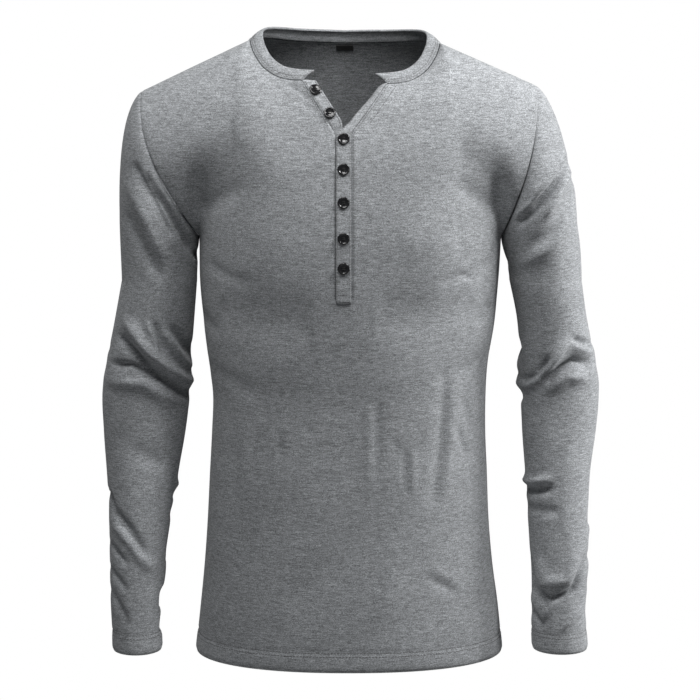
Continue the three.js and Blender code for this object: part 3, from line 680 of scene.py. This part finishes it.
# ---------- placket bands ----------
# Width where closed and open, how far the free edge falls back, and how far it lies off.
BANDS = {
    -1: dict(closed=9.0, opened=15.5, back=2.0, lift=-3.0),
    1: dict(closed=16.4, opened=11.0, back=9.0, lift=0.7),
}


def band_grid(side, across=15):
    """Rows of a placket band from foot to neck, level with the front's rows."""
    band = BANDS[side]
    plain = panel_grid(-1)
    middle = plain.shape[1] // 2 - 1
    sewn = plain[:, middle if side < 0 else middle + 1]
    sewn = sewn[sewn[:, 2] >= PLACKET_FOOT - 2]
    up = np.gradient(sewn, axis=0)
    up /= np.linalg.norm(up, axis=1, keepdims=True)
    out = points(0 * up[:, 0], -up[:, 2], up[:, 1])
    out /= np.linalg.norm(out, axis=1, keepdims=True)
    opened = smooth((sewn[:, 2] - PLACKET_OPEN) / PLACKET_BEND)
    fall = smooth((sewn[:, 2] - PLACKET_OPEN - PLACKET_BEND) / (2 * PLACKET_BEND))
    width = lerp(band["closed"], band["opened"], opened)
    share = np.linspace(0, 1, across)
    crown = 0.5 * np.sqrt(np.sin(np.pi * share).clip(0))
    lift = lerp(band["lift"], 0.3, opened)[:, None] + crown
    lift = lift - share ** 2 * (band["back"] * fall)[:, None]
    grid = sewn[:, None] + out[:, None] * lift[..., None]
    grid[..., 0] += -side * share * width[:, None]
    return grid if side < 0 else grid[:, ::-1]


under = band_grid(-1)
over = band_grid(1)
cloth("placket_under", under, JERSEY, thick=BAND_CLOTH)
cloth("placket_over", over, JERSEY, thick=BAND_CLOTH)


# ---------- stitching ----------
THREAD_THICK = 0.3
STITCH = [(0, 0.05), (0.3, 0.32), (0.7, 0.32), (1, 0.05)]   # share along, and height


def along_line(at, run, data):
    """A row of values at a distance along a line of points."""
    return np.array([np.interp(at, run, data[:, k]) for k in range(3)])


def unit(v):
    return v / max(np.linalg.norm(v), 1e-9)


def line_run(line):
    """Distance along a line to each of its points."""
    return np.concatenate([[0], np.cumsum(np.linalg.norm(np.diff(line, axis=0), axis=1))])


def stitches(name, lines, length=2.6, gap=1.0, wide=0.55):
    """Short raised threads along lines of points and outward directions."""
    verts, faces = [], []
    for line, out in lines:
        run = line_run(line)
        for begin in np.arange(0.5, run[-1] - length, length + gap):
            start, end = along_line(begin, run, line), along_line(begin + length, run, line)
            n = unit(along_line(begin, run, out))
            cross = np.cross(unit(end - start), n)
            rungs = []
            for share, height in STITCH:
                spot = lerp(start, end, share) + n * height
                rungs.append([(spot + cross * sway * wide) * MM for sway in (-0.5, 0.5)])
            ladder(verts, faces, rungs)
    thing = mesh(name, verts, faces)
    thicken(thing, THREAD_THICK)
    dress(thing, THREAD)


def at_height(grid, n, height, from_top=False, loop=False):
    """The line on a piece at a distance from its lower (or upper) edge."""
    low, high = column_distance(grid)
    away = high if from_top else low
    line, out = [], []
    for j in range(grid.shape[1]):
        order = np.argsort(away[:, j])
        line.append([np.interp(height, away[order, j], grid[order, j, k]) for k in range(3)])
        out.append([np.interp(height, away[order, j], n[order, j, k]) for k in range(3)])
    if loop:
        line.append(line[0])
        out.append(out[0])
    return np.array(line), np.array(out)


def hem_lines():
    lines = []
    for height in STITCH_ROWS:
        lines.append(at_height(front, front_n, height))
        lines.append(at_height(back, back_n, height))
        lines.append(at_height(right, right_n, height, True, True))
        lines.append(at_height(left, left_n, height, True, True))
    return lines


def neck_lines(rows=(1.6, 3.2)):
    """Lines along the binding, in the dents, at rows of its grid counted from the seam."""
    lines = []
    for row in rows:
        low = int(row)
        grid = lerp(binding_grid[low], binding_grid[low + 1], row - low)
        lines.append((grid, lerp(binding_n[low], binding_n[low + 1], row - low)))
    return lines


def beside_slot(side, away, lowest):
    """A line on the front, a distance out from the slot's edge, above a height."""
    middle = front.shape[1] // 2 - 1
    line, out = [], []
    for i in range(front.shape[0]):
        row = front[i, middle::-1] if side < 0 else front[i, middle + 1:]
        turn = front_n[i, middle::-1] if side < 0 else front_n[i, middle + 1:]
        if row[0, 2] < lowest:
            continue
        run = line_run(row)
        line.append(along_line(away, run, row))
        out.append(along_line(away, run, turn))
    return np.array(line), np.array(out)


def up_band(grid, share, lowest):
    """A line up a placket band at a share of its width, above a height."""
    j = int(round(share * (grid.shape[1] - 1)))
    keep = grid[:, j, 2] > lowest
    return grid[keep, j], normals_of(grid, 1)[keep, j]


def across_band(grid, row):
    """A line across a placket band, at a row counted from its foot."""
    return grid[row, 1:-1], normals_of(grid, 1)[row, 1:-1]


def placket_lines():
    foot, opening = PLACKET_FOOT + 2, PLACKET_OPEN + 6
    return [
        beside_slot(1, 2.4, foot),
        beside_slot(-1, 2.4, opening),
        beside_slot(1, 12.0, PLACKET_OPEN + 10),
        up_band(over, 0.1, foot),
        up_band(over, 0.9, foot),
        up_band(under, 0.12, opening),
        up_band(under, 0.88, opening),
        across_band(over, 3),
    ]


stitches("hem_stitching", hem_lines())
stitches("neck_stitching", neck_lines(), wide=0.5)
stitches("placket_stitching", placket_lines(), length=2.2, gap=0.7, wide=0.5)


# ---------- buttons and label ----------
# Half of a button's section as (out, up): flat underneath, a rounded rim, a dished face.
BUTTON_SECTION = [
    (0, 0.1), (4.6, 0.0), (5.6, 0.2), (6.15, 0.7), (6.25, 1.2), (6.1, 1.75), (5.6, 2.15),
    (5.1, 2.25), (4.7, 2.15), (4.35, 1.8), (4.0, 1.6), (0, 1.55)]
BUTTON_SCALE, BUTTON_OFF = 1.04, 0.35
FIRST_CLOSED = 2               # buttons above this one are undone, on the under band
THREAD_SECTION = [(-1.5, 1.5), (-0.9, 2.0), (0.9, 2.0), (1.5, 1.5)]   # along, up
THREAD_APART, THREAD_HALF = 0.9, 0.35
LABEL_WIDE, LABEL_TALL, LABEL_OFF, LABEL_BOW = 19.5, 7.6, 2.7, 0.455
LABEL_ACROSS, LABEL_DOWN = -0.6, 1.6


def place(thing, spot, out):
    thing.rotation_mode = "QUATERNION"
    thing.rotation_quaternion = Vector((0, 0, 1)).rotation_difference(Vector(out))
    thing.location = Vector(spot * MM)


def button(name, node, spot, out, count=48):
    """A dished black button lying on a band, with two bars of thread."""
    a = 2 * math.pi * np.arange(count) / count
    rings = [points(r * BUTTON_SCALE * np.cos(a), r * BUTTON_SCALE * np.sin(a), h)
             for r, h in BUTTON_SECTION]
    thing = make(name, np.array(rings), loop=True)
    place(thing, spot, out)
    dress(thing, GLOSS)
    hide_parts(node)
    verts, faces = [], []
    for y in (-THREAD_APART, THREAD_APART):
        ladder(verts, faces, [
            [(x * MM, (y + half) * MM, h * MM) for half in (-THREAD_HALF, THREAD_HALF)]
            for x, h in THREAD_SECTION])
    knot = mesh(name + "_thread", verts, faces)
    thicken(knot, THREAD_THICK)
    place(knot, spot, out)
    dress(knot, TAPE)


def on_band(grid, z):
    """The point in the middle of a placket band at a height, and its outward direction."""
    j = grid.shape[1] // 2
    n = normals_of(grid, 1)[:, j]
    return along_line(z, grid[:, j, 2], grid[:, j]), unit(along_line(z, grid[:, j, 2], n))


for k, z in enumerate(BUTTONS):
    spot, out = on_band(under if k < FIRST_CLOSED else over, z)
    button(f"henley_button_{k + 1}", f"button_{k + 1}", spot + out * BUTTON_OFF, out)


def label():
    """A small bare woven label on the inside of the back, just below the binding."""
    base, below = upper(1.0, np.array([1.0, 0.94]), 1, 1)
    down = unit(below - base)
    inside = np.cross(down, [1, 0, 0])
    inside = -inside if inside[1] > 0 else inside
    t = np.linspace(1, 0, 9)[:, None, None]
    w = np.linspace(-0.5, 0.5, 17)[None, :, None]
    bow = LABEL_BOW * (w * 2) ** 2
    grid = (base + (LABEL_ACROSS + w * LABEL_WIDE) * np.array([1, 0, 0])
            + down * (LABEL_DOWN + LABEL_TALL * t) + inside * (LABEL_OFF + bow))
    thing = make("neck_label_tape", grid)
    thicken(thing, 0.5)
    dress(thing, TAPE)
    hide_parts("neck_label")


label()


# ---------- stage ----------
# From here on sizes are in metres.
def area_light(name, spot, aim, size, power):
    data = bpy.data.lights.new(name, "AREA")
    data.shape, data.size, data.energy = "SQUARE", size, power
    lamp = bpy.data.objects.new(name, data)
    lamp.location = spot
    lamp.rotation_mode = "QUATERNION"
    lamp.rotation_quaternion = (Vector(aim) - Vector(spot)).to_track_quat("-Z", "Y")
    bpy.context.scene.collection.objects.link(lamp)


area_light("key", (1.15, -0.6, 1.05), (0.05, 0, -0.1), 0.4, 28)
area_light("left_fill", (-0.8, -0.6, 1.3), (-0.1, 0, -0.1), 0.6, 6)
area_light("top", (-0.2, -0.7, 1.1), (0, 0, 0), 0.7, 12)
area_light("right_rim", (1.6, 0.1, -0.1), (0.27, 0, -0.4), 0.6, 24)
area_light("neck_fill", (0.0, -0.8, 0.75), (0, 0.1, 0.0), 0.35, 2.8)

FLOOR_Z, FLOOR_HALF, FLOOR_BACK = -1.9, 4, 2.2
LENS, CAMERA_SPOT, CAMERA_DOWN = 129.86, (0.0056, -2.8, 0.11), 8.07


def floor():
    """A pale floor, low enough and short enough behind to stay out of the front view."""
    corners = [(-FLOOR_HALF, -FLOOR_HALF), (FLOOR_HALF, -FLOOR_HALF),
               (FLOOR_HALF, FLOOR_BACK), (-FLOOR_HALF, FLOOR_BACK)]
    thing = mesh("floor", [(x, y, FLOOR_Z) for x, y in corners], [(0, 1, 2, 3)])
    pale, _, shader = nodes_of("floor pale")
    shader.inputs["Base Color"].default_value = (0.8, 0.8, 0.8, 1)
    thing.data.materials.append(pale)


def studio():
    """A little soft light from all round; the camera alone sees white."""
    world = bpy.data.worlds.new("studio")
    bpy.context.scene.world = world
    world.use_nodes = True
    tree = world.node_tree
    soft = tree.nodes["Background"]
    soft.inputs["Color"].default_value = (0.95, 0.97, 1.0, 1)
    soft.inputs["Strength"].default_value = 0.12
    white = tree.nodes.new("ShaderNodeBackground")
    white.inputs["Color"].default_value = (1, 1, 1, 1)
    white.inputs["Strength"].default_value = 1.0
    path = tree.nodes.new("ShaderNodeLightPath")
    both = tree.nodes.new("ShaderNodeMixShader")
    link(tree, path, "Is Camera Ray", both, 0)
    link(tree, soft, 0, both, 1)
    link(tree, white, 0, both, 2)
    link(tree, both, 0, tree.nodes["World Output"], "Surface")


def front_camera():
    data = bpy.data.cameras.new("camera")
    data.sensor_width, data.lens = 36.0, LENS
    camera = bpy.data.objects.new("camera", data)
    camera.location = CAMERA_SPOT
    camera.rotation_euler = (math.radians(90 - CAMERA_DOWN), 0, 0)
    bpy.context.scene.collection.objects.link(camera)
    bpy.context.scene.camera = camera


floor()
studio()
front_camera()
bpy.context.scene.view_settings.view_transform = "Standard"
